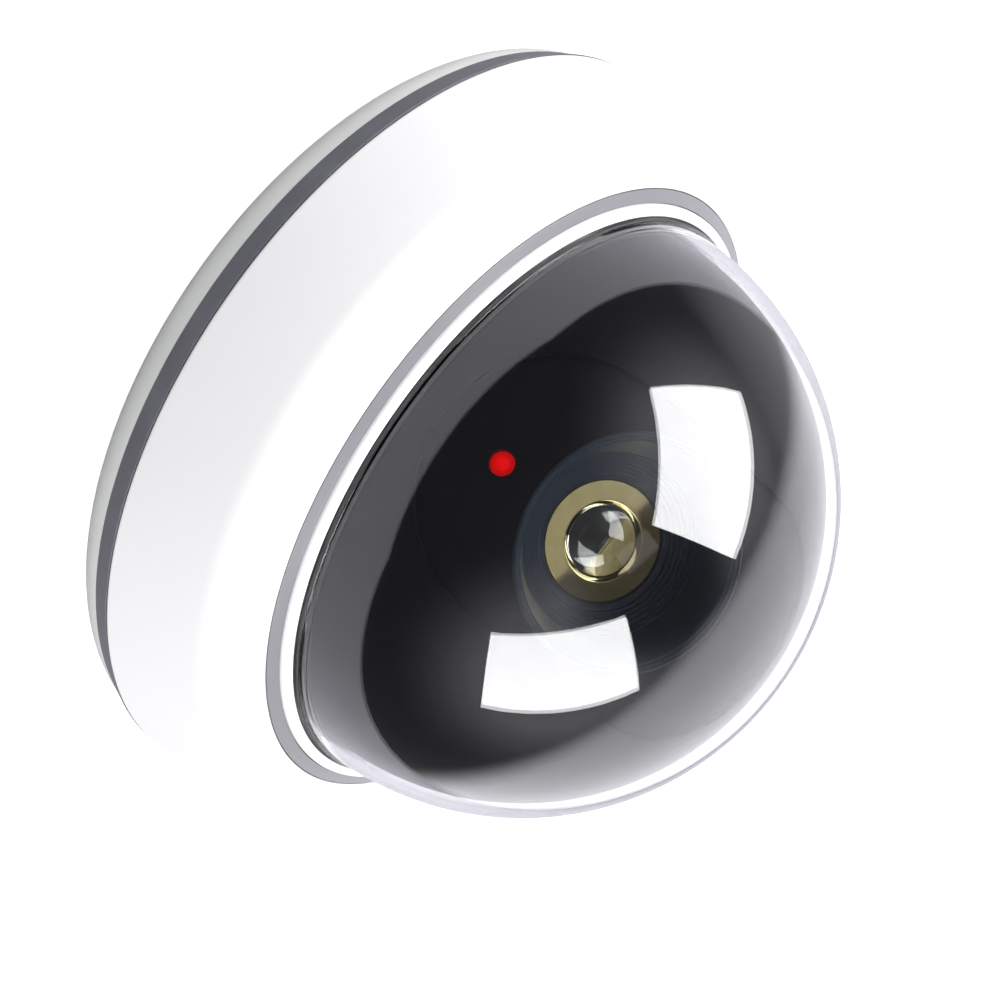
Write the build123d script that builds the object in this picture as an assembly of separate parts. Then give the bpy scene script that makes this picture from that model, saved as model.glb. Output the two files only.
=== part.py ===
from build123d import *
import os
from math import cos, hypot, radians, sin, sqrt

# A battery-powered imitation of a ceiling dome camera. It stands on the flat back face of its
# base plate: the origin is the centre of that face, +Z runs up through the top of the dome, and
# the lens looks towards -Y. All sizes are in millimetres.

# ---- driving dimensions ----
housing_r = 55.0            # widest radius, at the housing's lower edge
base_rim_z = 5.95           # top of the base plate's rim
housing_z = 9.2             # lower edge of the housing
housing_top_z = 27.75       # upper edge of the housing
opening_r = 45.5            # opening in the top of the housing
wall = 1.8                  # moulded wall
floor = 2.6                 # base plate's floor
dome_r = 41.7               # outside of the clear dome
dome_wall = 1.2
bead_r = 42.02              # bead round the dome's foot, just above its seal
bead_low_z = 29.1
bead_top_z = 29.9
ball_z = 28.3               # common centre of dome, shroud and eyeball
shroud_r = 39.8
shroud_wall = 0.5
eye_r = 39.2
eye_wall = 1.2
eye_half_width = 20.0
lens_angle = 41.0           # lens axis, measured from +Z towards -Y
led_angle = 70.0            # LED axis, measured the same way
led_turn = 1.4              # and its turn about +Z, a little off the middle
slot_half_angle = 25.25     # half width of the slot in the shroud
slot_top_angle = 20.5       # centres of the slot's two round ends, from +Z towards -Y
slot_end_angle = 57.95
tilt_up = 24.0              # travel of the eyeball, from rest towards +Z
tilt_down = 8.0             # and from rest towards the horizon
cell_r = 7.1                # AA cell
cell_length = 49.3
cell_z = 10.5
screw_pcd = 70.0            # mounting screws
screw_hole_r = 2.25
gap = 0.05                  # clearance between parts that touch or slide


def export(node, shape):
    export_step(shape, f"parts/{node}.step")


def turned(outline, corner=None, fillet_r=0.0):
    """A solid of revolution about +Z from (radius, height) points, with one corner rounded."""
    face = make_face(Polyline(*outline, close=True))
    if corner:
        sharp = min(face.vertices(), key=lambda v: hypot(v.X - corner[0], v.Y - corner[1]))
        face = fillet(sharp, fillet_r)
    return revolve(Plane.XZ * face, Axis.Z)


def ring(outer_r, inner_r, low_z, high_z):
    return turned([(inner_r, low_z), (outer_r, low_z), (outer_r, high_z), (inner_r, high_z)])


def rod(r, low_z, high_z, x=0.0, y=0.0):
    return Pos(x, y, low_z) * Cylinder(r, high_z - low_z, align=(Align.CENTER, Align.CENTER, Align.MIN))


def rod_x(r, low_x, high_x):
    """A rod along X on the tilt axis."""
    bar = Cylinder(r, high_x - low_x, align=(Align.CENTER, Align.CENTER, Align.MIN))
    return Pos(low_x, 0, ball_z) * Rot(0, 90, 0) * bar


def block(low, high):
    size = [b - a for a, b in zip(low, high)]
    return Pos(*low) * Box(*size, align=(Align.MIN, Align.MIN, Align.MIN))


def plate(length, width, corner_r, low_z, high_z, x=0.0, y=0.0):
    return Pos(x, y, low_z) * extrude(RectangleRounded(length, width, corner_r), high_z - low_z)


def polar(r, azimuths):
    return [(r * cos(radians(a)), r * sin(radians(a))) for a in azimuths]


def arc_segment(outer_r, inner_r, low_z, high_z, half_angle):
    """Part of a ring, centred on +X."""
    reach = 2 * outer_r
    side = reach * sin(radians(half_angle))
    along = reach * cos(radians(half_angle))
    wedge = extrude(make_face(Polyline((0, 0), (along, -side), (along, side), close=True)), high_z)
    return ring(outer_r, inner_r, low_z, high_z) & wedge


def tube_path(points, radii, wire_r):
    route = FilletPolyline(*points, radius=radii)
    return sweep((route ^ 0) * Circle(wire_r), path=route)


def meridian(angle, turn=0.0):
    """A plane at the ball's centre whose normal leans from +Z towards -Y by this angle.

    The plane can then be turned about +Z."""
    lean, about = radians(angle), radians(turn)
    normal = (sin(lean) * sin(about), -sin(lean) * cos(about), cos(lean))
    return Plane(origin=(0, 0, ball_z), x_dir=(cos(about), sin(about), 0), z_dir=normal)


def sector(from_angle, to_angle, half_width):
    """A wedge about the tilt axis, between two angles from +Z towards -Y."""
    reach = 90.0
    steps = 4
    angles = [from_angle + (to_angle - from_angle) * i / steps for i in range(steps + 1)]
    rim = [(-reach * sin(radians(a)), ball_z + reach * cos(radians(a))) for a in angles]
    face = Plane.YZ * make_face(Polyline((0, ball_z), *rim, close=True))
    return Pos(-half_width, 0, 0) * extrude(face, 2 * half_width, dir=(1, 0, 0))


# ---- fixed parts: base plate, seal ring, chassis, power and electronics ----
leg_azimuths = (30, 150, 270)
lug_azimuths = (0, 120, 240)
hook_azimuths = (90, 210, 330)
screw_azimuths = (135, 315)
leg_r = 41.0                 # circle of the chassis legs
leg_foot_z = 5.0
collar_r = 50.2              # collar that carries the bayonet lugs
lug_r = 51.6
lug_low_z = 10.4
lug_high_z = 11.8
lug_half_angle = 14.0
foot_r = 48.6                # flat part of the back face
rim_r = 53.75                # widest radius of the base plate
leg_screw_r = 1.3            # clearance holes and their counterbores
leg_screw_head_r = 2.9
screw_boss_r = 4.6
door_length = 57.0
door_width = 31.0
door_tongue_x = 34.2
door_screw_x = 31.3
well_length = 54.4
well_width = 29.2
switch_x = 20.3
switch_y = 23.0
knob_travel = 2.0
board_y = 23.5
board_z = 5.0
board_screw_x = 10.5
holder_screw_x = 12.0
holder_screw_y = -18.6


def door_outline(margin, low_z, high_z):
    body = plate(door_length + 2 * margin, door_width + 2 * margin, 2.0, low_z, high_z)
    tongue = block((0, -4 - margin, low_z), (door_tongue_x + margin, 4 + margin, high_z))
    return body + tongue


def base_plate():
    side = ThreePointArc((foot_r, 0), (52.25, 2.35), (rim_r, base_rim_z))
    rest = Polyline((rim_r, base_rim_z), (foot_r, base_rim_z), (foot_r, floor), (0, floor), (0, 0),
                    (foot_r, 0))
    body = revolve(Plane.XZ * make_face(side + rest), Axis.Z)
    body += ring(collar_r, foot_r, floor, lug_high_z)
    for azimuth in lug_azimuths:
        lug = arc_segment(lug_r, collar_r - 0.4, lug_low_z, lug_high_z, lug_half_angle)
        body += Rot(0, 0, azimuth) * lug
        stop = arc_segment(lug_r - 0.2, collar_r - 0.4, housing_z + gap, lug_high_z, 0.8)
        body += Rot(0, 0, azimuth - lug_half_angle - 1.4) * stop
    for x, y in polar(leg_r, leg_azimuths):
        body += rod(4.4, floor, leg_foot_z, x, y)
    for x, y in polar(screw_pcd / 2, screw_azimuths):
        body += rod(screw_boss_r, floor, 4.2, x, y)
    body += rod(3.0, floor, 6.2, door_screw_x, 0)
    for x in (-board_screw_x, board_screw_x):
        body += rod(2.2, floor, board_z, x, board_y)
    body -= door_outline(0.25, -1, 1.5)
    body -= plate(well_length, well_width, 2.0, -1, floor + 1)
    for x, y in polar(leg_r, leg_azimuths):
        body -= rod(leg_screw_r, -1, 8, x, y)
        body -= rod(leg_screw_head_r, -1, 1.8, x, y)
    for x, y in polar(screw_pcd / 2, screw_azimuths):
        body -= rod(screw_hole_r, -1, 8, x, y)
    body -= rod(1.0, 1.0, 5.9, door_screw_x, 0)
    for x in (-board_screw_x, board_screw_x):
        body -= rod(0.8, 1.2, board_z + 1, x, board_y)
    for x in (-holder_screw_x, holder_screw_x):
        body -= rod(0.95, 0.8, floor + 1, x, holder_screw_y)
    body -= block((switch_x - 3.2, switch_y - 1.3, -1), (switch_x + 3.2, switch_y + 1.3, floor + 1))
    return body


def seal_ring():
    return turned([(collar_r + 0.1, base_rim_z), (rim_r, base_rim_z),
                   (housing_r - 0.05, housing_z - gap), (collar_r + 0.1, housing_z - gap)])


pan_ring_z = 15.2
pan_seat_z = 16.8
flange_z = 17.05
flange_top_z = 18.25
flange_r = 41.0


def pan_ring():
    """The chassis ring on three legs, with three snap hooks over the shroud's flange."""
    body = ring(43.2, 38.7, pan_ring_z, pan_seat_z)
    for x, y in polar(leg_r, leg_azimuths):
        body += rod(3.2, leg_foot_z, pan_ring_z + 0.4, x, y)
        body += rod(4.2, leg_foot_z, leg_foot_z + 1.6, x, y)
    upright = arc_segment(42.9, flange_r + 0.4, pan_ring_z + 0.3, 19.6, 6)
    hook = arc_segment(42.0, flange_r - 0.9, flange_top_z + 0.1, 19.4, 5.8)
    for azimuth in hook_azimuths:
        body += Rot(0, 0, azimuth) * (upright + hook)
    for x, y in polar(leg_r, leg_azimuths):
        body -= rod(1.05, leg_foot_z - 1, 12.5, x, y)
    return body


def pan_washer():
    return ring(flange_r - 0.4, 38.9, pan_seat_z, flange_z - gap)


def chassis_screws():
    screw = rod(2.6, 0.6, 1.8) + rod(1.0, 1.8, 11.5)
    screw -= Pos(0, 0, 0.6) * Box(3.6, 0.7, 1.2)
    return Compound([Pos(x, y, 0) * screw for x, y in polar(leg_r, leg_azimuths)])


def battery_holder():
    """A box with no floor over the opening in the base plate: the cells go in from the back."""
    roof_z = cell_z + cell_r + 0.2
    body = plate(56.4, 31.0, 1.5, floor, roof_z + 1.0)
    body -= plate(54.0, 29.0, 0.6, floor - 1, roof_z)
    body += block((-26.4, -0.1, cell_z), (26.4, 0.1, roof_z + 0.2))
    for x in (-holder_screw_x, holder_screw_x):
        tab = plate(7, 7.6, 1.5, floor, 3.8, x, holder_screw_y + 0.4)
        body += tab
        body -= rod(1.1, 0, 6, x, holder_screw_y)
    for x in (-18, 0, 18):
        body -= plate(9, 24, 2.0, roof_z - 1, roof_z + 2, x, 0)
    return body


def holder_screws():
    screw = rod(1.9, 3.8, 5.0) + rod(0.9, 1.0, 3.8)
    screw -= Pos(0, 0, 5.0) * Box(2.6, 0.5, 1.0)
    return Compound([Pos(x, holder_screw_y, 0) * screw for x in (-holder_screw_x, holder_screw_x)])


def aa_cell():
    """A cell along X: the flat end at the lower x, the nub at the higher."""
    half = cell_length / 2
    can = turned([(0, -half), (cell_r - 0.4, -half), (cell_r, 0.4 - half), (cell_r, half - 0.8),
                  (cell_r - 0.8, half), (2.7, half), (2.7, half + 1.2), (0, half + 1.2)])
    return Rot(0, 90, 0) * can


def cell_rows():
    """Each cell's side of the holder and the turn that points its nub."""
    return ((-7.2, 0), (7.2, 180))


def battery_cells():
    return Compound([Pos(0, y, cell_z) * Rot(0, 0, turn) * aa_cell() for y, turn in cell_rows()])


def battery_springs():
    """One coil at each cell's flat end, pressed to its working length."""
    coil = Helix(pitch=0.62, height=1.24, radius=3.2)
    wire = sweep((coil ^ 0) * Circle(0.24), path=coil)
    length_to_cell = cell_length / 2 + 1.55
    spring = Pos(-length_to_cell, 0, 0) * Rot(0, 90, 0) * wire
    return Compound([Pos(0, y, cell_z) * Rot(0, 0, turn) * spring for y, turn in cell_rows()])


def battery_contacts():
    """At one end a plate that joins the two cells, at the other end two separate terminals."""
    z_low, z_high = cell_z - 5, cell_z + 5
    joined = block((26.55, -12, z_low), (26.9, 12, z_high))
    terminals = []
    for y in (-7.2, 7.2):
        tag = block((-26.9, y - 5, z_low), (-26.55, y + 5, z_high))
        terminals.append(tag)
    return Compound([joined] + terminals)


def battery_door():
    body = door_outline(0, 0.1, 1.45)
    body += plate(well_length - 0.6, well_width - 0.6, 1.8, 1.45, 2.5)
    for x in (-24, -21, -18):
        body -= block((x - 0.5, -7, -1), (x + 0.5, 7, 0.6))
    body -= rod(1.2, -1, 4, door_screw_x, 0)
    body -= rod(2.2, -1, 0.9, door_screw_x, 0)
    return body


def door_screw():
    screw = rod(1.9, 0.25, 0.9, door_screw_x, 0) + rod(0.95, 0.9, 5.4, door_screw_x, 0)
    return screw - Pos(door_screw_x, 0, 0.25) * Box(2.6, 0.5, 0.7)


def flasher_board():
    body = plate(26, 12, 1.0, board_z, board_z + 1.0, 0, board_y)
    for x in (-board_screw_x, board_screw_x):
        body -= rod(1.0, 0, 9, x, board_y)
    return body


def board_screws():
    screw = rod(1.7, board_z + 1.0, board_z + 2.1) + rod(0.75, 1.6, board_z + 1.0)
    screw -= Pos(0, 0, board_z + 2.1) * Box(2.4, 0.5, 0.9)
    return Compound([Pos(x, board_y, 0) * screw for x in (-board_screw_x, board_screw_x)])


def flasher_chip():
    top = board_z + 1.0
    body = block((-4.4, board_y - 4.2, top + 0.3), (-0.6, board_y + 0.8, top + 1.8))
    for step in range(4):
        y = board_y - 3.6 + 1.27 * step
        body += block((-5.4, y - 0.2, top), (0.4, y + 0.2, top + 0.5))
    return body


def board_capacitor():
    top = board_z + 1.0
    return rod(2.0, top, top + 0.5, 4.6, board_y - 3.2) + rod(1.8, top, top + 2.6, 4.6, board_y - 3.2)


def board_resistors():
    top = board_z + 1.0
    chips = [block((x, board_y + 2.4, top), (x + 2.0, board_y + 3.6, top + 0.6)) for x in (-5.2, -1.8, 1.6)]
    return Compound(chips)


def switch_body():
    body = block((switch_x - 4.3, switch_y - 2.2, floor), (switch_x + 4.3, switch_y + 2.2, 6.2))
    body -= block((switch_x - 2.8, switch_y - 1.0, 0), (switch_x + 2.8, switch_y + 1.0, 4.6))
    for x in (-2, 0, 2):
        body += block((switch_x + x - 0.3, switch_y - 0.2, 6.0), (switch_x + x + 0.3, switch_y + 0.2, 7.6))
    return body


def switch_knob():
    """At rest the knob is at the low-x end of its slot, which is off."""
    low_x = switch_x - 1.0 - knob_travel / 2
    body = block((low_x, switch_y - 0.95, 0.5), (low_x + 2.0, switch_y + 0.95, 4.5))
    for step in range(3):
        x = low_x + 0.35 + 0.65 * step
        body -= block((x - 0.12, switch_y - 1, 0.4), (x + 0.12, switch_y + 1, 0.75))
    return body


wire_r = 0.55
thin_wire_r = 0.45


def battery_leads():
    """From the holder's two terminals, round its end and side, to the board and the switch."""
    red = tube_path([(-28.25, -7.2, 9.0), (-30.4, -7.2, 9.0), (-31.0, 5.0, 7.4), (-29.8, 17.8, 6.9),
                     (-21.0, 21.0, 7.3), (-12.9, 21.5, 6.7)], [1.5, 4.0, 4.0, 4.0], wire_r)
    black = tube_path([(-28.25, 7.2, 11.8), (-30.6, 7.2, 11.8), (-29.8, 18.0, 9.4), (-20.0, 19.4, 8.8),
                       (-12.0, 18.9, 6.8)], [1.5, 4.0, 4.0], wire_r)
    return Compound([red, black])


def switch_leads():
    leads = []
    for x, y in ((0, 2.0), (-2, -2.0)):
        points = [(switch_x + x, switch_y, 8.15), (switch_x + x, switch_y + y, 9.6), (12.5, board_y + y, 8.4),
                  (8.2, board_y + y, 6.65)]
        leads.append(tube_path(points, [1.2, 1.2], thin_wire_r))
    return Compound(leads)


# ---- the twist-off cover: housing, trim, dome ----
ledge_low_z = 23.6
ledge_top_z = 25.4
ledge_r = 42.3
retainer_screw_azimuths = (45, 135, 225, 315)
retainer_screw_r = 45.7
dome_foot_z = 21.9
dome_flange_r = 43.7


def housing():
    shoulder = (51.12, 22.6)
    outside = [(housing_r, housing_z), shoulder, (opening_r + 0.3, housing_top_z), (opening_r, housing_top_z)]
    inside = [(opening_r, ledge_top_z), (ledge_r, ledge_top_z), (ledge_r, ledge_low_z), (47.4, ledge_low_z),
              (49.55, 21.6), (housing_r - wall - 0.1, housing_z)]
    body = turned(outside + inside, shoulder, 6.0)
    tab = arc_segment(53.6, collar_r + 0.3, housing_z, lug_low_z - 0.1, lug_half_angle)
    for azimuth in lug_azimuths:
        body += Rot(0, 0, azimuth) * tab
    for x, y in polar(retainer_screw_r, retainer_screw_azimuths):
        body += rod(1.9, dome_foot_z, ledge_low_z + 0.5, x, y)
        body -= rod(0.96, dome_foot_z - 1, ledge_low_z + 1.3, x, y)
    return body


def step_ring():
    return turned([(ledge_r + 0.1, ledge_top_z), (opening_r - 0.1, ledge_top_z), (opening_r - 0.1, 27.8),
                   (43.7, 28.4), (43.7, 26.9), (ledge_r + 0.1, 26.9)])


def bezel_ring():
    shoulder = (43.6, 29.15)
    return turned([(42.25, 26.95), (43.6, 26.95), shoulder, (42.25, 29.3)], shoulder, 0.55)


def dome():
    skirt_r = dome_r - dome_wall
    outer = Pos(0, 0, ball_z) * Sphere(dome_r) + rod(dome_r, dome_foot_z, ball_z)
    inner = Pos(0, 0, ball_z) * Sphere(skirt_r) + rod(skirt_r, dome_foot_z - 60, ball_z)
    outer += rod(bead_r, bead_low_z, bead_top_z)
    body = outer + rod(dome_flange_r, dome_foot_z, ledge_low_z - gap) - inner
    return body & rod(60, dome_foot_z, 100)


def dome_seal():
    return ring(42.18, dome_r + 0.04, ledge_low_z - gap, 29.0)


def dome_retainer():
    body = ring(47.6, 40.6, 20.3, dome_foot_z - gap)
    for x, y in polar(retainer_screw_r, retainer_screw_azimuths):
        body -= rod(1.15, 19, 23, x, y)
    return body


def retainer_screws():
    screw = rod(1.8, 19.0, 20.3) + rod(0.94, 20.3, ledge_low_z + 1.1)
    screw -= Pos(0, 0, 19.0) * Box(2.6, 0.5, 1.2)
    return Compound([Pos(x, y, 0) * screw for x, y in polar(retainer_screw_r, retainer_screw_azimuths)])


# ---- the shroud, which pans, and the eyeball, which tilts in its slot ----
skirt_low_z = flange_z
boss_low_x = 21.0
cheek_x = 18.5
cheek_low_end = 95.0         # the cheeks stop here, above the battery holder
pin_r = 1.5


def slot_cutter():
    """The radial wall of the slot: two cones at its ends and the band between them."""
    reach = 60.0
    spread = reach * sin(radians(slot_half_angle))
    depth = reach * cos(radians(slot_half_angle))
    cone = revolve(Plane.XZ * make_face(Polyline((0, 0), (spread, depth), (0, depth), close=True)), Axis.Z)
    ends = [meridian(angle).location * cone for angle in (slot_top_angle, slot_end_angle)]
    return ends[0] + ends[1]


def slot_band():
    """The straight part of the slot, whose sides lie at a constant angle from its meridian."""
    half = shroud_r * sin(radians(slot_half_angle))
    return sector(slot_top_angle, slot_end_angle, half)


def shroud():
    inner_r = shroud_r - shroud_wall
    outer = Pos(0, 0, ball_z) * Sphere(shroud_r) + rod(shroud_r, skirt_low_z, ball_z)
    outer += rod(flange_r, flange_z, flange_top_z)
    for side in (-1, 1):
        low, high = sorted((side * boss_low_x, side * (shroud_r - 0.4)))
        outer += rod_x(4.0, low, high)
    inner = Pos(0, 0, ball_z) * Sphere(inner_r) + rod(inner_r, skirt_low_z - 60, ball_z)
    for side in (-1, 1):
        low, high = sorted((side * boss_low_x, side * (shroud_r - 0.3)))
        inner -= rod_x(4.0, low, high)
    body = (outer - inner) & rod(60, skirt_low_z, 100)
    body -= slot_cutter()
    body -= slot_band()
    for side in (-1, 1):
        low, high = sorted((side * (boss_low_x - 1), side * 31.0))
        body -= rod_x(pin_r + 0.01, low, high)
    return body


def tilt_pins():
    pins = []
    for side in (-1, 1):
        low, high = sorted((side * (cheek_x - 0.1), side * 30.5))
        head_low, head_high = sorted((side * (cheek_x - 0.1), side * (cheek_x - 1.3)))
        pins.append(rod_x(pin_r, low, high) + rod_x(3.0, head_low, head_high))
    return Compound(pins)


def tilt_washers():
    washers = []
    for side in (-1, 1):
        low, high = sorted((side * (eye_half_width + gap), side * (boss_low_x - gap)))
        washers.append(rod_x(4.0, low, high) - rod_x(pin_r + 0.1, low - 1, high + 1))
    return Compound(washers)


def eyeball():
    """A band of a hollow ball on two cheeks, long enough to fill the slot all through the tilt."""
    top_end = slot_top_angle - slot_half_angle - tilt_down - 2.0
    low_end = slot_end_angle + slot_half_angle + tilt_up + 1.1
    ball = Pos(0, 0, ball_z) * Sphere(eye_r)
    hollow = Pos(0, 0, ball_z) * Sphere(eye_r - eye_wall)
    core = Pos(0, 0, ball_z) * Box(2 * cheek_x, 90, 90)
    body = (ball - (hollow & core)) & sector(top_end, low_end, eye_half_width)
    body -= hollow & sector(cheek_low_end, low_end + 5, eye_half_width + 1)
    for side in (-1, 1):
        low, high = sorted((side * cheek_x, side * eye_half_width))
        body += rod_x(6.0, low, high)
        body -= rod_x(pin_r + 0.05, low - 1, high + 1)
    seat = rod(dish_r + 0.05, 25, 45)
    body -= meridian(lens_angle).location * seat
    body -= meridian(led_angle, led_turn).location * rod(led_r + 0.06, 30, 45)
    return body


dish_r = 14.6
lens_seat = 27.2             # distances along the lens axis from the ball's centre
mirror_face = 27.6
ring_face = 28.3
dish_back = 25.6
bore_r = 3.4
glass_r = 4.35
led_r = 1.5
lead_start = 29.3            # where the LED's legs end and its leads begin


def flush(r):
    """The distance along an axis through the ball's centre at which its surface has this radius."""
    return sqrt(eye_r ** 2 - r ** 2)


def lens_dish():
    """The conical dish round the lens, with fine ridges between the cone and the ring."""
    ridges = []
    for step in range(5):
        r = 10.7 - 0.5 * step
        ridges += [(r, 30.1 - 0.3 * step), (r - 0.25, 30.1 - 0.3 * step), (r - 0.25, 29.65 - 0.3 * step)]
    outline = [(bore_r, dish_back), (9.6, dish_back), (11.2, 28.2), (15.2, 33.2), (15.2, 34.65),
               (dish_r, 34.65), (dish_r, flush(dish_r)), (13.9, flush(13.9)), (13.75, 36.2)]
    outline += ridges
    outline += [(8.2, 28.45), (7.7, 28.45), (7.7, lens_seat), (bore_r, lens_seat)]
    return meridian(lens_angle).location * turned(outline)


def lens_ring():
    """A flat gold ring, countersunk towards the glass."""
    inner_r = glass_r + gap
    outline = [(inner_r, lens_seat + 0.02), (7.6, lens_seat + 0.02), (7.6, ring_face - 0.15),
               (7.45, ring_face), (5.0, ring_face), (inner_r, ring_face - 0.6)]
    return meridian(lens_angle).location * turned(outline)


def lens_glass():
    """A thick plano-convex lens."""
    crown = ring_face + 0.9
    crown_r = 8.2
    body = rod(glass_r, mirror_face + 0.02, crown) & (Pos(0, 0, crown - crown_r) * Sphere(crown_r))
    return meridian(lens_angle).location * body


def lens_mirror():
    """The bright disc behind the glass, on the dish's floor: an imitation needs no way through."""
    return meridian(lens_angle).location * rod(glass_r - gap, lens_seat + 0.02, mirror_face)


def led():
    body = rod(led_r, 34.4, 37.6) + Pos(0, 0, 37.6) * Sphere(led_r)
    body += rod(1.9, 33.4, 34.4)
    for x in (-0.95, 0.95):
        body += rod(0.25, lead_start + 0.1, 33.5, x, 0)
    return meridian(led_angle, led_turn).location * body


def led_holder():
    body = rod(2.3, 33.4, 37.8) - rod(1.56, 30, 40) - rod(1.95, 30, 34.45)
    return meridian(led_angle, led_turn).location * body


def led_leads():
    """Two wires from the LED, slack enough for the tilt and the pan, to the board."""
    leads = []
    for x in (-0.95, 0.95):
        start = meridian(led_angle, led_turn).from_local_coords((x, 0, lead_start))
        points = [start, (x, -20.0, 34.0), (x, -6.0, 25.5), (x, 9.0, 22.5),
                  (x + 2.2, 20.0, 18.5), (x + 4.4, 26.0, 7.4)]
        leads.append(tube_path(points, [3.0, 3.0, 3.0, 3.0], thin_wire_r))
    return Compound(leads)


os.makedirs("parts", exist_ok=True)
for make in (base_plate, seal_ring, pan_ring, pan_washer, chassis_screws, battery_holder, holder_screws,
             battery_cells, battery_springs, battery_contacts, battery_door, door_screw, flasher_board,
             board_screws, flasher_chip, board_capacitor, board_resistors, switch_body, switch_knob,
             battery_leads, switch_leads, housing, step_ring, bezel_ring, dome, dome_seal, dome_retainer,
             retainer_screws, shroud, tilt_pins, tilt_washers, eyeball, lens_dish, lens_ring, lens_glass,
             lens_mirror, led, led_holder, led_leads):
    export(make.__name__, make())
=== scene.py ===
from math import acos, asin, atan2, cos, degrees, pi, radians, sin, sqrt, tan

import bmesh
import bpy
from mathutils import Matrix, Vector


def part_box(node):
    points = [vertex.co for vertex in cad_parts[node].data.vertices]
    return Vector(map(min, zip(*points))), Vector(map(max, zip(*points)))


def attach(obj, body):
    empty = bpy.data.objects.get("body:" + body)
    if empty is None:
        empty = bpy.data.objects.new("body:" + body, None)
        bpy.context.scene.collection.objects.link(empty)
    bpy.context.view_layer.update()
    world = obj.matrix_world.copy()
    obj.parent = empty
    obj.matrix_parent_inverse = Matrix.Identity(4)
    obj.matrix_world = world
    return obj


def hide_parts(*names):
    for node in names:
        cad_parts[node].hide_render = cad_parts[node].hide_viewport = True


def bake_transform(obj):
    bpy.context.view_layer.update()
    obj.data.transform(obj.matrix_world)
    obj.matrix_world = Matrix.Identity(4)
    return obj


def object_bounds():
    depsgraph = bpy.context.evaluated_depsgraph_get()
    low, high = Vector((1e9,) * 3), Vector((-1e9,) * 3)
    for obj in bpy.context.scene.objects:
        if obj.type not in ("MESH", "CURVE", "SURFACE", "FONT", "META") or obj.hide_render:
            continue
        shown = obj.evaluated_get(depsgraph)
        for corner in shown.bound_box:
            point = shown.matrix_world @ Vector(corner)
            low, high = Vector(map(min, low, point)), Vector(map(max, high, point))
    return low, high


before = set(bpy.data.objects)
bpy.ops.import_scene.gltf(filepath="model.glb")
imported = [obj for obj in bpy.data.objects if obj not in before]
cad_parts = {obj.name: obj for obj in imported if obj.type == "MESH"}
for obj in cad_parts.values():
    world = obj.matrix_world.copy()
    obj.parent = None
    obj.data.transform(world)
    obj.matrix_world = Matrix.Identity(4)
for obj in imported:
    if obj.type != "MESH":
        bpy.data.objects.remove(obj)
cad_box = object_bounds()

# A dome camera on its back face: +Z runs up through the dome, and the lens looks towards -Y.
# Outlines are in millimetres, (radius, height) or (radius, height, corner radius), and the
# meshes are in metres. Driving sizes come from the CAD nodes' boxes.

MM = 0.001
SEGMENTS = 224               # round the big turned pieces
SMALL_SEGMENTS = 120         # round the lens and the LED
SHARP_ANGLE = radians(30)


def low(node):
    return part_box(node)[0] / MM


def high(node):
    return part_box(node)[1] / MM


# ---- sizes read from the frame ----
housing_r = high("housing").x
housing_z = low("housing").z
housing_top_z = high("housing").z
base_rim_z = low("seal_ring").z
seal_top_z = high("seal_ring").z
step_top_z = high("step_ring").z
step_r = high("step_ring").x
bezel_r = high("bezel_ring").x
bezel_low_z = low("bezel_ring").z
bezel_top_z = high("bezel_ring").z
dome_flange_r = high("dome").x
dome_foot_z = low("dome").z
dome_top_z = high("dome").z
ball_z = (low("tilt_pins").z + high("tilt_pins").z) / 2
dome_r = dome_top_z - ball_z
eye_r = high("eyeball").z - ball_z
dome_seal_r = high("dome_seal").x
dome_seal_z = high("dome_seal").z

# ---- sizes that no box gives ----
dome_wall = 1.2
bead_r = 42.02               # the bead round the dome's foot, just above its seal
bead_low_z = 29.1
bead_top_z = 29.9
ledge_r = 42.3               # the ledge inside the housing that the dome's flange sits under
ledge_low_z = 23.6
ledge_top_z = 25.4
collar_r = 50.2              # the base plate's collar, which the seal ring goes round
lens_angle = 41.0            # lens axis, from +Z towards -Y
led_angle = 70.0             # LED axis, the same way
led_turn = 1.4               # and its turn about +Z
dish_r = 14.6
lens_seat = 27.2             # distances along the lens axis from the ball's centre
mirror_face = 27.6
ring_face = 28.3
glass_r = 4.35
bore_r = 3.4
led_r = 1.5


# ---- meshes ----
def arc(centre, r, from_angle, to_angle, steps):
    """Points on an arc in the (radius, height) plane, with angles in degrees from the height axis."""
    points = []
    for i in range(steps + 1):
        angle = radians(from_angle + (to_angle - from_angle) * i / steps)
        points.append((centre[0] + r * sin(angle), centre[1] + r * cos(angle)))
    return points


def rounded(outline):
    """The outline with each (radius, height, corner radius) point turned into an arc."""
    points = []
    for i, corner in enumerate(outline):
        if len(corner) == 2:
            points.append(Vector(corner))
            continue
        here = Vector(corner[:2])
        back = (Vector(outline[i - 1][:2]) - here).normalized()
        on = (Vector(outline[(i + 1) % len(outline)][:2]) - here).normalized()
        half = acos(max(-1.0, min(1.0, back.dot(on)))) / 2
        reach = corner[2] / tan(half)
        centre = here + (back + on).normalized() * corner[2] / sin(half)
        start, end = here + back * reach - centre, here + on * reach - centre
        sweep = atan2(start.cross(end), start.dot(end))
        steps = max(3, round(degrees(abs(sweep)) / 9))
        for step in range(steps + 1):
            points.append(centre + Matrix.Rotation(sweep * step / steps, 2) @ start)
    return points


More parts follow.
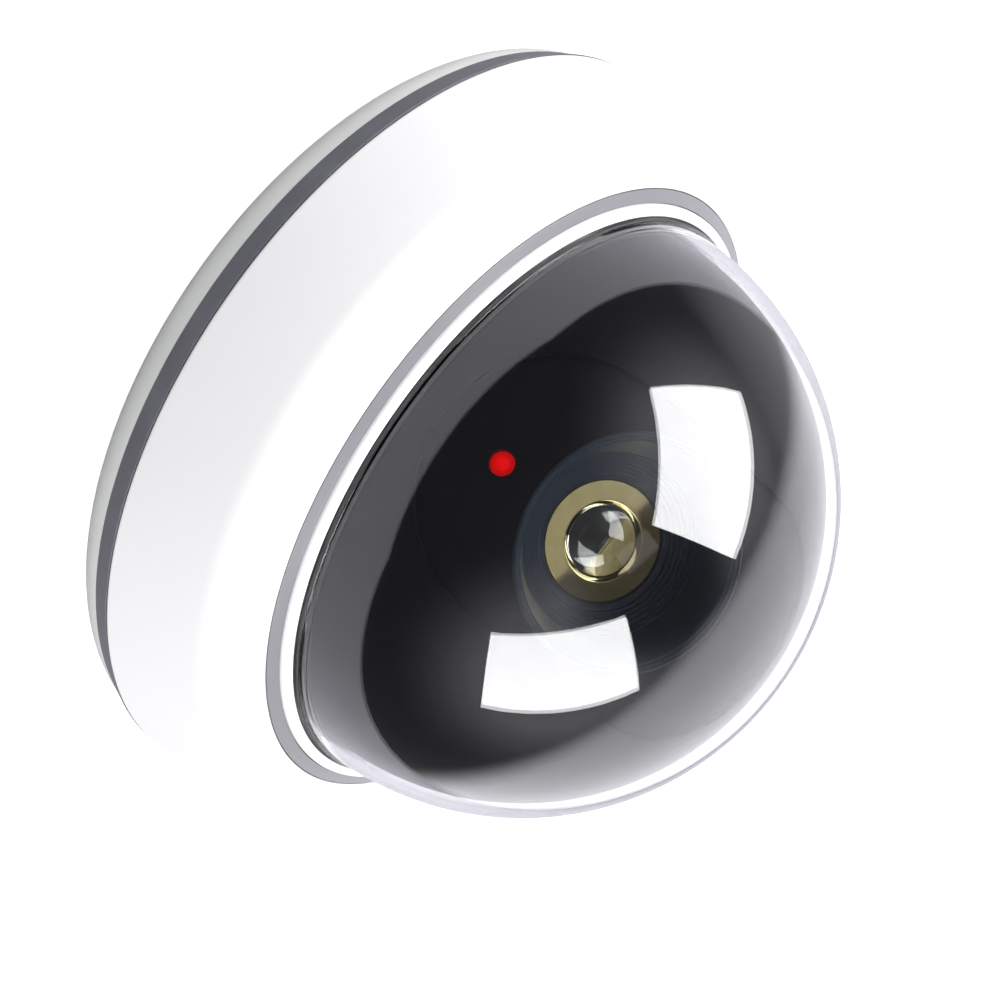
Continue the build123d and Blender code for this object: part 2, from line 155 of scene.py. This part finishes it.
def add_turned(mesh, outline, segments, offset=(0, 0)):
    """Adds a closed solid of revolution about +Z, or about a line beside it."""
    rings = []
    for r, z in rounded(outline):
        if r < 1e-6:
            rings.append([mesh.verts.new((offset[0] * MM, offset[1] * MM, z * MM))])
            continue
        turns = [2 * pi * i / segments for i in range(segments)]
        rings.append([mesh.verts.new(((offset[0] + r * cos(t)) * MM, (offset[1] + r * sin(t)) * MM, z * MM))
                      for t in turns])
    for lower, upper in zip(rings, rings[1:] + rings[:1]):
        for i in range(segments):
            j = (i + 1) % segments
            corners = [lower[i % len(lower)], lower[j % len(lower)],
                       upper[j % len(upper)], upper[i % len(upper)]]
            face = list(dict.fromkeys(corners))
            if len(face) > 2:
                mesh.faces.new(face)


def add_arc_block(mesh, inner_r, outer_r, low_z, high_z, azimuth, half_angle, steps=16):
    """Adds a piece of a ring, centred on an azimuth in degrees."""
    rows = []
    for i in range(steps + 1):
        turn = radians(azimuth - half_angle + 2 * half_angle * i / steps)
        section = ((inner_r, low_z), (outer_r, low_z), (outer_r, high_z), (inner_r, high_z))
        rows.append([mesh.verts.new((r * cos(turn) * MM, r * sin(turn) * MM, z * MM)) for r, z in section])
    for row, after in zip(rows, rows[1:]):
        for i in range(4):
            j = (i + 1) % 4
            mesh.faces.new((row[i], row[j], after[j], after[i]))
    mesh.faces.new(rows[0][::-1])
    mesh.faces.new(rows[-1])


def as_object(mesh, name, material):
    """Makes an object of the mesh, smooth but for its sharp edges."""
    bmesh.ops.recalc_face_normals(mesh, faces=mesh.faces)
    data = bpy.data.meshes.new(name)
    mesh.to_mesh(data)
    mesh.free()
    data.polygons.foreach_set("use_smooth", [True] * len(data.polygons))
    data.set_sharp_from_angle(angle=SHARP_ANGLE)
    data.materials.append(material)
    piece = bpy.data.objects.new(name, data)
    bpy.context.scene.collection.objects.link(piece)
    return piece


def finished(mesh, name, material, replaced, body, place=None):
    """Makes an object of the mesh that stands for a CAD node and rides on its body."""
    bmesh.ops.remove_doubles(mesh, verts=mesh.verts, dist=1e-7)
    piece = as_object(mesh, name, material)
    if place is not None:
        piece.matrix_world = place
    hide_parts(replaced)
    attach(piece, body)
    return piece


def turned(name, outline, material, replaced, body, place=None, segments=SEGMENTS):
    mesh = bmesh.new()
    add_turned(mesh, outline, segments)
    return finished(mesh, name, material, replaced, body, place)


def meridian(angle, turn=0.0):
    """The frame whose +Z is an axis through the ball's centre, leaning from +Z towards -Y."""
    facing = Matrix.Rotation(radians(turn), 4, "Z") @ Matrix.Rotation(radians(angle), 4, "X")
    return Matrix.Translation((0, 0, ball_z * MM)) @ facing


def flush(r):
    """Where the ball's surface has this radius about an axis through its centre."""
    return sqrt(eye_r ** 2 - r ** 2)


# ---- materials ----
class Graph:
    """A material's nodes, with short calls to add and join them."""

    def __init__(self, name):
        self.material = bpy.data.materials.new(name)
        self.material.use_nodes = True
        self.tree = self.material.node_tree
        self.tree.nodes.clear()
        self.output = self.tree.nodes.new("ShaderNodeOutputMaterial")
        self.where = self.tree.nodes.new("ShaderNodeTexCoord").outputs["Object"]

    def add(self, kind, **values):
        node = self.tree.nodes.new("ShaderNode" + kind)
        for key, value in values.items():
            if hasattr(node, key):
                setattr(node, key, value)
                continue
            socket = node.inputs[key.replace("_", " ")]
            if isinstance(value, bpy.types.NodeSocket):
                self.tree.links.new(value, socket)
            else:
                socket.default_value = value
        return node

    def noise(self, size_mm, detail=2.0, where=None):
        """Noise from 0 to 1 with features of about this size."""
        return self.add("TexNoise", Vector=where or self.where, Scale=1 / (size_mm * MM),
                        Detail=detail).outputs["Fac"]

    def spread(self, value, low_end, high_end, start=0.3, stop=0.7):
        """The value moved from start..stop to low_end..high_end."""
        node = self.add("MapRange", Value=value, From_Min=start, From_Max=stop,
                        To_Min=low_end, To_Max=high_end)
        return node.outputs["Result"]

    def mix(self, share, first, second):
        """Between two colours."""
        node = self.add("Mix", data_type="RGBA")
        for socket, value in ((node.inputs[0], share), (node.inputs[6], first), (node.inputs[7], second)):
            if isinstance(value, bpy.types.NodeSocket):
                self.tree.links.new(value, socket)
            else:
                socket.default_value = value
        return node.outputs[2]

    def math(self, operation, first, second=0.0):
        node = self.add("Math", operation=operation)
        for socket, value in zip(node.inputs, (first, second)):
            if isinstance(value, bpy.types.NodeSocket):
                self.tree.links.new(value, socket)
            else:
                socket.default_value = value
        return node.outputs[0]

    def bump(self, height, depth_mm):
        return self.add("Bump", Height=height, Distance=depth_mm * MM).outputs["Normal"]

    def radius(self):
        """Distance from the object's own Z axis."""
        split = self.add("SeparateXYZ", Vector=self.where)
        x, y = split.outputs["X"], split.outputs["Y"]
        return self.math("SQRT", self.math("ADD", self.math("MULTIPLY", x, x), self.math("MULTIPLY", y, y)))

    def finish(self, shader):
        self.tree.links.new(shader, self.output.inputs["Surface"])
        return self.material


def shade(colour, factor):
    return tuple(min(1.0, c * factor) for c in colour) + (1.0,)


def plastic(name, colour, roughness, grain_mm=0.12, grain_depth_mm=0.004, variation=0.04, specular=0.5):
    """Moulded plastic: a fine spark-eroded grain, faint flow marks and uneven gloss."""
    g = Graph(name)
    cloud = g.noise(14.0, 2.0)
    tint = g.mix(g.spread(cloud, 0, 1, 0.2, 0.8), shade(colour, 1 - variation),
                 shade(colour, 1 + variation))
    gloss = g.spread(g.noise(9.0, 1.0), roughness * 0.94, roughness * 1.06, 0.0, 1.0)
    skin = g.bump(g.noise(grain_mm, 3.0), grain_depth_mm)
    shader = g.add("BsdfPrincipled", Base_Color=tint, Roughness=gloss, Normal=skin,
                   Specular_IOR_Level=specular)
    return g.finish(shader.outputs[0])


def rubber(name, colour):
    """Soft seal: matt, with a dusty bloom in patches."""
    g = Graph(name)
    dust = g.spread(g.noise(5.0, 5.0), 0, 1, 0.45, 0.75)
    tint = g.mix(dust, shade(colour, 1.0), shade(colour, 1.35))
    skin = g.bump(g.noise(0.2, 2.0), 0.01)
    shader = g.add("BsdfPrincipled", Base_Color=tint, Roughness=g.spread(dust, 0.42, 0.6, 0, 1),
                   Normal=skin, Specular_IOR_Level=0.4)
    return g.finish(shader.outputs[0])


def metal(name, colour, roughness):
    """Plated or brushed metal, with fine scratches and a little staining."""
    scratch_mm = 0.15
    g = Graph(name)
    stain = g.spread(g.noise(2.5, 4.0), 0, 1)
    tint = g.mix(stain, shade(colour, 0.92), shade(colour, 1.05))
    gloss = g.spread(g.noise(scratch_mm, 2.0), roughness * 0.8, roughness * 1.3)
    shader = g.add("BsdfPrincipled", Base_Color=tint, Metallic=1.0, Roughness=gloss,
                   Normal=g.bump(g.noise(scratch_mm, 2.0), 0.002))
    return g.finish(shader.outputs[0])


def turned_gold():
    """Pale brass-gold disc, with the fine circles of a lathe about its own axis."""
    g = Graph("turned_gold")
    rings = g.noise(0.09, 3.0, g.add("CombineXYZ", X=g.radius()).outputs[0])
    stain = g.spread(g.noise(1.8, 4.0), 0, 1)
    tint = g.mix(stain, (0.62, 0.53, 0.265, 1), (0.68, 0.59, 0.31, 1))
    shader = g.add("BsdfPrincipled", Base_Color=tint, Metallic=1.0, Roughness=g.spread(rings, 0.04, 0.07),
                   Normal=g.bump(rings, 0.00015))
    return g.finish(shader.outputs[0])


def lens_core_painted_reflection():
    """The disc behind the lens: black, with a painted reflection on its upper side, a straight-edged gold
    segment.
    """
    edge_y, line_y, line_half = 0.45 * MM, 0.70 * MM, 0.08 * MM
    g = Graph("lens_core_painted_reflection")
    up = g.add("SeparateXYZ", Vector=g.where).outputs["Y"]
    # Painted reflection: gold and metallic above a straight edge across the disc, darkened along a thin
    # line beside that edge.
    painted_reflection = g.math("GREATER_THAN", up, edge_y)
    line = g.math("LESS_THAN", g.math("ABSOLUTE", g.math("SUBTRACT", up, line_y)), line_half)
    painted_reflection = g.math("SUBTRACT", painted_reflection, g.math("MULTIPLY", line, 0.75))
    # The mottled gold of the painted reflection.
    stain = g.mix(g.spread(g.noise(0.8, 4.0), 0, 1), (0.16, 0.13, 0.055, 1), (0.21, 0.175, 0.088, 1))
    tint = g.mix(painted_reflection, (0.004, 0.0045, 0.005, 1), stain)
    shader = g.add("BsdfPrincipled", Base_Color=tint, Metallic=g.math("MULTIPLY", painted_reflection, 0.8),
                   Roughness=0.38, Specular_IOR_Level=0.1)
    return g.finish(shader.outputs[0])


def clear(name, colour, index):
    """Clear moulding. Lamps shine straight through it, so that what it covers is lit."""
    shadow = 0.9
    g = Graph(name)
    glass = g.add("BsdfPrincipled", Base_Color=colour, IOR=index, Transmission_Weight=1.0,
                  Roughness=g.spread(g.noise(9.0, 4.0), 0.0, 0.012, 0.4, 0.8))
    through = g.add("BsdfTransparent", Color=(shadow, shadow, shadow, 1))
    path = g.add("LightPath")
    mixed = g.add("MixShader", Fac=path.outputs["Is Shadow Ray"])
    g.tree.links.new(glass.outputs[0], mixed.inputs[1])
    g.tree.links.new(through.outputs[0], mixed.inputs[2])
    return g.finish(mixed.outputs[0])


def lit_red():
    """The LED's red resin, lit from inside: brightest at its core."""
    g = Graph("led_red")
    glow = g.spread(g.radius(), 1.0, 0.35, 0.0, led_r * MM)
    tint = g.mix(glow, (0.30, 0.0, 0.0, 1), (0.75, 0.0, 0.001, 1))
    shader = g.add("BsdfPrincipled", Base_Color=(0.10, 0.0, 0.0, 1), Roughness=0.4, Specular_IOR_Level=0.03,
                   Emission_Color=tint, Emission_Strength=0.95)
    return g.finish(shader.outputs[0])


def cell_jacket():
    """A plain two-tone battery jacket with steel ends."""
    g = Graph("cell_jacket")
    end_x, band_x = 23.9 * MM, 15.0 * MM
    x = g.math("ABSOLUTE", g.add("SeparateXYZ", Vector=g.where).outputs["X"])
    end = g.math("GREATER_THAN", x, end_x)
    band = g.math("GREATER_THAN", x, band_x)
    scuffed = g.mix(g.spread(g.noise(1.5, 5.0), 0, 1), (0.045, 0.047, 0.052, 1), (0.07, 0.072, 0.08, 1))
    body = g.mix(band, scuffed, (0.50, 0.22, 0.09, 1))
    tint = g.mix(end, body, (0.72, 0.72, 0.72, 1))
    shader = g.add("BsdfPrincipled", Base_Color=tint, Metallic=g.spread(end, 0.2, 1.0, 0, 1), Roughness=0.3,
                   Normal=g.bump(g.noise(0.5), 0.004))
    return g.finish(shader.outputs[0])


def board_green():
    """Solder mask over copper: tracks show as faint paler lines."""
    g = Graph("board_green")
    tracks = g.add("TexBrick", Vector=g.where, Scale=420.0, Mortar_Size=0.05, Color1=(0.012, 0.09, 0.03, 1),
                   Color2=(0.015, 0.11, 0.035, 1), Mortar=(0.05, 0.22, 0.07, 1))
    shader = g.add("BsdfPrincipled", Base_Color=tracks.outputs["Color"], Roughness=0.22,
                   Normal=g.bump(g.noise(0.4), 0.004))
    return g.finish(shader.outputs[0])


white = plastic("housing_white", (0.65, 0.65, 0.64), 0.55, variation=0.01, specular=0.3)
bezel_white = plastic("bezel_white", (0.90, 0.90, 0.91), 0.22, grain_depth_mm=0.002, variation=0.01)
trim = plastic("trim_grey", (0.155, 0.155, 0.168), 0.34, variation=0.03)
base_grey = plastic("base_grey", (0.63, 0.645, 0.60), 0.4, grain_depth_mm=0.006, variation=0.03)
seal_grey = rubber("seal_grey", (0.095, 0.096, 0.108))
seal_black = rubber("seal_black", (0.012, 0.012, 0.013))
ball_black = plastic("ball_black", (0.0018, 0.0017, 0.0024), 0.45, grain_mm=0.25, variation=0.25,
                     specular=0.04)
lens_black = plastic("lens_black", (0.0060, 0.0090, 0.0135), 0.45, grain_depth_mm=0.002, variation=0.15,
                     specular=0.06)
inner_black = plastic("inner_black", (0.03, 0.03, 0.031), 0.5, grain_mm=0.3, grain_depth_mm=0.01,
                      variation=0.1)
gold = turned_gold()
core_black_with_painted_reflection = lens_core_painted_reflection()
clear_dome = clear("clear_dome", (0.985, 0.99, 0.985, 1), 1.58)
lens_clear = clear("lens_glass", (0.97, 0.99, 0.975, 1), 1.52)
led_red = lit_red()
steel = metal("steel", (0.62, 0.62, 0.63), 0.3)
can = metal("capacitor_can", (0.7, 0.7, 0.72), 0.25)
chip = plastic("chip_black", (0.015, 0.015, 0.016), 0.55, grain_mm=0.15, grain_depth_mm=0.01)
wire = plastic("wire_red", (0.45, 0.015, 0.012), 0.35, grain_mm=0.4, variation=0.08)
jacket = cell_jacket()
board = board_green()

CAD_MATERIALS = {
    base_grey: ("base_plate", "battery_door"),
    ball_black: ("shroud", "eyeball"),
    lens_black: ("led_holder",),
    inner_black: ("pan_ring", "dome_retainer", "battery_holder", "switch_body", "switch_knob"),
    seal_black: ("pan_washer", "tilt_washers"),
    steel: ("chassis_screws", "holder_screws", "door_screw", "board_screws", "retainer_screws", "tilt_pins",
            "battery_springs", "battery_contacts"),
    jacket: ("battery_cells",),
    board: ("flasher_board",),
    chip: ("flasher_chip", "board_resistors"),
    can: ("board_capacitor",),
    wire: ("battery_leads", "switch_leads", "led_leads"),
}


def finish_cad_nodes():
    for material, nodes in CAD_MATERIALS.items():
        for node in nodes:
            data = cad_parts[node].data
            data.materials.clear()
            data.materials.append(material)


# ---- the cover's pieces ----
def make_housing():
    """The tapered shell, with the tabs of its bayonet and the bosses for the retainer's screws."""
    outline = [(housing_r - 1.9, housing_z, 0.2), (housing_r, housing_z, 0.35), (51.12, 22.6, 6.0),
               (45.8, housing_top_z, 0.22), (step_r + 0.1, housing_top_z, 0.08),
               (step_r + 0.1, ledge_top_z),
               (ledge_r, ledge_top_z), (ledge_r, ledge_low_z), (47.4, ledge_low_z), (49.55, 21.6, 3.0)]
    mesh = bmesh.new()
    add_turned(mesh, outline, SEGMENTS)
    for azimuth in (0, 120, 240):
        add_arc_block(mesh, collar_r + 0.3, housing_r - 1.4, housing_z, housing_z + 1.1, azimuth, 14)
    boss_ring_r = 45.7
    for azimuth in (45, 135, 225, 315):
        centre = (boss_ring_r * cos(radians(azimuth)), boss_ring_r * sin(radians(azimuth)))
        boss = [(0.96, dome_foot_z, 0.1), (1.9, dome_foot_z, 0.2), (1.9, ledge_low_z + 0.5),
                (0, ledge_low_z + 0.5), (0, ledge_low_z + 0.3), (0.96, ledge_low_z + 0.3)]
        add_turned(mesh, boss, 24, centre)
    return finished(mesh, "housing_shell", white, "housing", "cover")


def make_trim():
    """The grey step ring in the housing's opening, and the white bezel ring on it."""
    step = [(ledge_r + 0.1, ledge_top_z), (step_r, ledge_top_z), (step_r, step_top_z - 0.6, 0.12),
            (43.7, step_top_z, 0.1), (43.7, bezel_low_z), (ledge_r + 0.1, bezel_low_z)]
    turned("step_ring_trim", step, trim, "step_ring", "cover")
    inner = -low("dome_seal").x
    bezel = [(inner + 0.07, bezel_low_z, 0.05), (bezel_r, bezel_low_z, 0.05),
             (bezel_r, bezel_top_z - 0.15, 0.6), (inner + 0.07, bezel_top_z, 0.25)]
    turned("bezel_ring_trim", bezel, bezel_white, "bezel_ring", "cover")


def make_seals():
    """The grey band between base plate and housing, and the black line round the dome's foot."""
    outer = [(collar_r + 0.1, base_rim_z), (53.75, base_rim_z, 0.15),
             (54.35, (base_rim_z + seal_top_z) / 2, 5.0), (housing_r - 0.05, seal_top_z, 0.15),
             (collar_r + 0.1, seal_top_z)]
    turned("seal_ring_band", outer, seal_grey, "seal_ring", "base")
    inner = [(dome_r + 0.04, low("dome_seal").z), (dome_seal_r, low("dome_seal").z),
             (dome_seal_r, dome_seal_z, 0.15), (dome_r + 0.04, dome_seal_z, 0.15)]
    turned("dome_seal_ring", inner, seal_black, "dome_seal", "cover")


def make_dome():
    """The clear dome: two concentric skins, a beaded straight skirt and the flange that is clamped."""
    skirt_r = dome_r - dome_wall
    flange_top_z = 23.55
    outline = [(skirt_r, dome_foot_z), (dome_flange_r, dome_foot_z, 0.1),
               (dome_flange_r, flange_top_z, 0.1), (dome_r, flange_top_z), (dome_r, bead_low_z),
               (bead_r, bead_low_z, 0.05), (bead_r, bead_top_z, 0.15)]
    bead_angle = degrees(acos((bead_top_z - ball_z) / dome_r))
    outline += arc((0, ball_z), dome_r, bead_angle, 0, 72)
    outline += arc((0, ball_z), skirt_r, 0, 90, 72)
    return turned("clear_dome_shell", outline, clear_dome, "dome", "cover")


# ---- the lens and the LED ----
def make_dish():
    """The cone round the lens, with two fine lines at its rim and stepped ridges at its foot."""
    ridges = []
    for step in range(6):
        r, level = 11.3 - 0.5 * step, 30.6 - 0.34 * step
        ridges += [(r, level, 0.06), (r - 0.22, level, 0.06), (r - 0.26, level - 0.34)]
    flange_r, flange_top = 15.2, 34.65
    rim = flush(dish_r - 0.45)
    outline = [(bore_r, 25.6), (9.6, 25.6), (11.2, 28.2), (flange_r, 33.2), (flange_r, flange_top),
               (dish_r, flange_top), (dish_r, flush(dish_r), 0.12), (dish_r - 0.45, rim, 0.1),
               (dish_r - 0.5, rim - 0.3, 0.06), (dish_r - 0.8, rim - 0.35, 0.06),
               (dish_r - 0.9, rim - 0.65, 0.06), (dish_r - 1.2, rim - 0.7, 0.1)]
    outline += ridges
    outline += [(8.2, 28.45, 0.06), (7.7, 28.45, 0.06), (7.7, lens_seat), (bore_r, lens_seat)]
    turned("lens_dish_cone", outline, lens_black, "lens_dish", "eyeball",
           meridian(lens_angle), SMALL_SEGMENTS)


def make_lens():
    """The gold ring, the disc behind the glass and the crowned glass."""
    seat = lens_seat + 0.02
    inner_r, face_r, rim_r, crowning_r = glass_r + 0.05, 5.0, 7.45, 200.0
    face = [(r, ring_face - (r ** 2 - face_r ** 2) / (2 * crowning_r)) for r in (rim_r, 6.9, 6.3, 5.7)]
    ring = [(inner_r, seat), (7.6, seat), (7.6, ring_face - 0.2)] + face
    ring += [(face_r, ring_face, 0.08), (inner_r, ring_face - 0.6)]
    turned("lens_ring_gold", ring, gold, "lens_ring", "eyeball", meridian(lens_angle),
           SMALL_SEGMENTS)
    disc_r = glass_r - 0.05
    disc = [(0, seat), (disc_r, seat), (disc_r, mirror_face, 0.06), (0, mirror_face)]
    # This disc's material paints a reflection on it: a straight-edged gold segment with a thin dark line.
    turned("lens_mirror_disc", disc, core_black_with_painted_reflection, "lens_mirror", "eyeball",
           meridian(lens_angle), SMALL_SEGMENTS)
    crown_r = 8.2
    crown = ring_face + 0.9
    edge = degrees(asin(glass_r / crown_r))
    glass = [(0, mirror_face + 0.02), (glass_r, mirror_face + 0.02)]
    glass += arc((0, crown - crown_r), crown_r, edge, 0, 24)
    turned("lens_glass_crown", glass, lens_clear, "lens_glass", "eyeball",
           meridian(lens_angle), SMALL_SEGMENTS)


def make_led():
    """A round-nosed lamp with a collar at its foot."""
    collar_r, foot, collar_top, nose = 1.9, 33.4, 34.4, 37.6
    outline = [(0, foot), (collar_r, foot, 0.05), (collar_r, collar_top, 0.1), (led_r, collar_top)]
    outline += arc((0, nose), led_r, 90, 0, 16)
    turned("led_lamp", outline, led_red, "led", "eyeball", meridian(led_angle, led_turn), 64)


def make_led_leads():
    """The LED's leads, cut into two lengths, a front and a rear one."""
    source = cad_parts["led_leads"]
    join_y = 9.0 * MM
    lengths = {"led_leads_front": (1, "eyeball", "shroud", -21.0 * MM, 2.0 * MM),
               "led_leads_rear": (-1, "shroud", "base", 11.0 * MM, 25.0 * MM)}
    for name, (side, near_body, far_body, start_y, end_y) in lengths.items():
        mesh = bmesh.new()
        mesh.from_mesh(source.data)
        mesh.transform(source.matrix_world)
        bmesh.ops.remove_doubles(mesh, verts=mesh.verts, dist=1e-7)
        everything = mesh.verts[:] + mesh.edges[:] + mesh.faces[:]
        bmesh.ops.bisect_plane(mesh, geom=everything, plane_co=(0, join_y, 0), plane_no=(0, side, 0),
                               clear_outer=True)
        bmesh.ops.holes_fill(mesh, edges=mesh.edges[:])
        piece = as_object(mesh, name, wire)
        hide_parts("led_leads")
        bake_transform(piece)


# ---- light, floor and camera ----
softbox_radiance = 9.0
backdrop_radiance = 1.5
backdrop_height = 19.0       # elevation of the middle of the backdrop's glow
room_radiance = 0.055
left_box = (-82.0, 48.0)     # azimuth from -Y towards +X, and elevation
right_box = (85.0, 52.5)
card_distance = 0.95         # metres from the ball to every soft light


def towards(azimuth, elevation):
    turn, lean = radians(azimuth), radians(elevation)
    return Vector((sin(turn) * cos(lean), -cos(turn) * cos(lean), sin(lean)))


def aimed(azimuth, elevation, distance, target, roll=0.0):
    """A place seen from the target at an azimuth from -Y towards +X, turned to face the target."""
    away = towards(azimuth, elevation)
    facing = away.to_track_quat("Z", "Y").to_matrix() @ Matrix.Rotation(radians(roll), 3, "Z")
    return Matrix.Translation(target + distance * away) @ facing.to_4x4()


def make_camera():
    data = bpy.data.cameras.new("camera")
    data.sensor_width = 36.0
    data.lens = 90.0
    data.clip_start = 0.01
    camera = bpy.data.objects.new("camera", data)
    target = Vector((3.8, -27.1, 39.5)) * MM
    camera.matrix_world = aimed(4.38, 26.8, 0.300, target, 125.36)
    bpy.context.scene.collection.objects.link(camera)
    bpy.context.scene.camera = camera


def make_card(name, azimuth, elevation, width, height, roll, radiance, mirrored=True):
    """A rectangular soft light of an even radiance, facing the ball. A fill isn't mirrored."""
    data = bpy.data.lights.new(name, "AREA")
    data.shape = "RECTANGLE"
    data.size, data.size_y = width, height
    data.energy = radiance * pi * width * height
    data.color = (0.985, 0.985, 1.0)
    light = bpy.data.objects.new(name, data)
    light.matrix_world = aimed(azimuth, elevation, card_distance, Vector((0, 0, ball_z * MM)), roll)
    light.visible_camera = False
    light.visible_glossy = mirrored
    light.visible_transmission = mirrored
    bpy.context.scene.collection.objects.link(light)


def make_softboxes():
    """Two softboxes over the sides, three low fills, and a small dim card that the gold ring mirrors."""
    far = card_distance
    make_card("softbox_left", *left_box, 0.84 * far, 0.70 * far, 90, softbox_radiance)
    make_card("softbox_right", *right_box, 0.81 * far, 0.57 * far, 72, softbox_radiance)
    fills = {"left": (-72, 7, 0.9, 2.6), "front": (-8, 5, 0.5, 3.6), "right": (55, 7, 0.9, 1.9)}
    for side, (azimuth, elevation, width, radiance) in fills.items():
        make_card("fill_" + side, azimuth, elevation, width, 0.2, 0, radiance, mirrored=False)
    card_top, card_height = 72.3, 8.0
    make_card("ring_card", -16, card_top - card_height / 2, 0.22, radians(card_height) * far, 0, 0.45)


def make_floor():
    """A plain pale table that runs on behind the object. Seen directly it is white."""
    mesh = bmesh.new()
    reach_x, near_y, far_y = 0.32, -0.32, 1.6
    corners = [mesh.verts.new(p) for p in ((-reach_x, near_y, 0), (reach_x, near_y, 0), (reach_x, far_y, 0),
                                           (-reach_x, far_y, 0))]
    mesh.faces.new(corners)
    bmesh.ops.subdivide_edges(mesh, edges=mesh.edges, cuts=7, use_grid_fill=True)
    data = bpy.data.meshes.new("floor")
    mesh.to_mesh(data)
    mesh.free()
    floor = bpy.data.objects.new("floor", data)
    bpy.context.scene.collection.objects.link(floor)
    floor.location.z = cad_box[0][2] - 0.00005
    g = Graph("floor_paper")
    tint = g.mix(g.spread(g.noise(60.0, 3.0), 0, 1), (0.325, 0.320, 0.350, 1), (0.335, 0.330, 0.360, 1))
    path = g.add("LightPath")
    bounces = g.math("ADD", path.outputs["Diffuse Depth"], path.outputs["Glossy Depth"])
    shader = g.add("BsdfPrincipled", Base_Color=tint, Roughness=0.9, Emission_Color=(1, 1, 1, 1),
                   Emission_Strength=g.spread(g.math("LESS_THAN", bounces, 0.5), 0.04, 1.0, 0, 1))
    data.materials.append(g.finish(shader.outputs[0]))


def make_world():
    """A dark room with a bright backdrop behind the object and a soft halo round each softbox.

    Seen directly, or straight through the clear dome, it is plain white."""
    world = bpy.data.worlds.new("studio")
    bpy.context.scene.world = world
    world.use_nodes = True
    nodes, links = world.node_tree.nodes, world.node_tree.links
    nodes.clear()
    output = nodes.new("ShaderNodeOutputWorld")
    direction = nodes.new("ShaderNodeTexCoord").outputs["Generated"]

    def maths(operation, first, second):
        node = nodes.new("ShaderNodeMath")
        node.operation = operation
        for socket, value in zip(node.inputs, (first, second)):
            if isinstance(value, bpy.types.NodeSocket):
                links.new(value, socket)
            else:
                socket.default_value = value
        return node.outputs[0]

    def near(centre, inner, outer, ease):
        """1 within one angle of a direction, down to 0 at the other."""
        dot = nodes.new("ShaderNodeVectorMath")
        dot.operation = "DOT_PRODUCT"
        links.new(direction, dot.inputs[0])
        dot.inputs[1].default_value = centre
        node = nodes.new("ShaderNodeMapRange")
        node.interpolation_type = ease
        links.new(dot.outputs["Value"], node.inputs["Value"])
        for key, number in (("From Min", cos(radians(outer))), ("From Max", cos(radians(inner))),
                            ("To Min", 0.0), ("To Max", 1.0)):
            node.inputs[key].default_value = number
        return node.outputs["Result"]

    behind = near(towards(180, backdrop_height), 41, 54, "SMOOTHSTEP")
    backdrop = maths("MULTIPLY", behind, backdrop_radiance)
    halos = [maths("POWER", near(towards(*box), 25, 56, "LINEAR"), 3.0) for box in (left_box, right_box)]
    ceiling = near(towards(-16, 84), 16, 34, "SMOOTHSTEP")
    halo = maths("MULTIPLY", maths("MAXIMUM", *halos), 0.5)
    halo = maths("MULTIPLY", halo, maths("SUBTRACT", 1.0, ceiling))
    spill = maths("MULTIPLY", near(towards(-125, 10), 5, 32, "SMOOTHSTEP"), 0.35)
    glow = maths("ADD", maths("MAXIMUM", backdrop, maths("MAXIMUM", halo, spill)), room_radiance)
    room = nodes.new("ShaderNodeBackground")
    room.inputs["Color"].default_value = (1.0, 0.98, 1.045, 1)
    links.new(glow, room.inputs["Strength"])
    plain = nodes.new("ShaderNodeBackground")
    plain.inputs["Color"].default_value = (1, 1, 1, 1)
    plain.inputs["Strength"].default_value = 1.05
    mixed = nodes.new("ShaderNodeMixShader")
    path = nodes.new("ShaderNodeLightPath")
    bounces = maths("ADD", path.outputs["Diffuse Depth"], path.outputs["Glossy Depth"])
    links.new(maths("LESS_THAN", bounces, 0.5), mixed.inputs["Fac"])
    links.new(room.outputs[0], mixed.inputs[1])
    links.new(plain.outputs[0], mixed.inputs[2])
    links.new(mixed.outputs[0], output.inputs["Surface"])


make_camera()
finish_cad_nodes()
make_housing()
make_trim()
make_seals()
make_dome()
make_dish()
make_lens()
make_led()
make_led_leads()
make_floor()
make_world()
make_softboxes()
bpy.context.scene.view_settings.view_transform = "Standard"
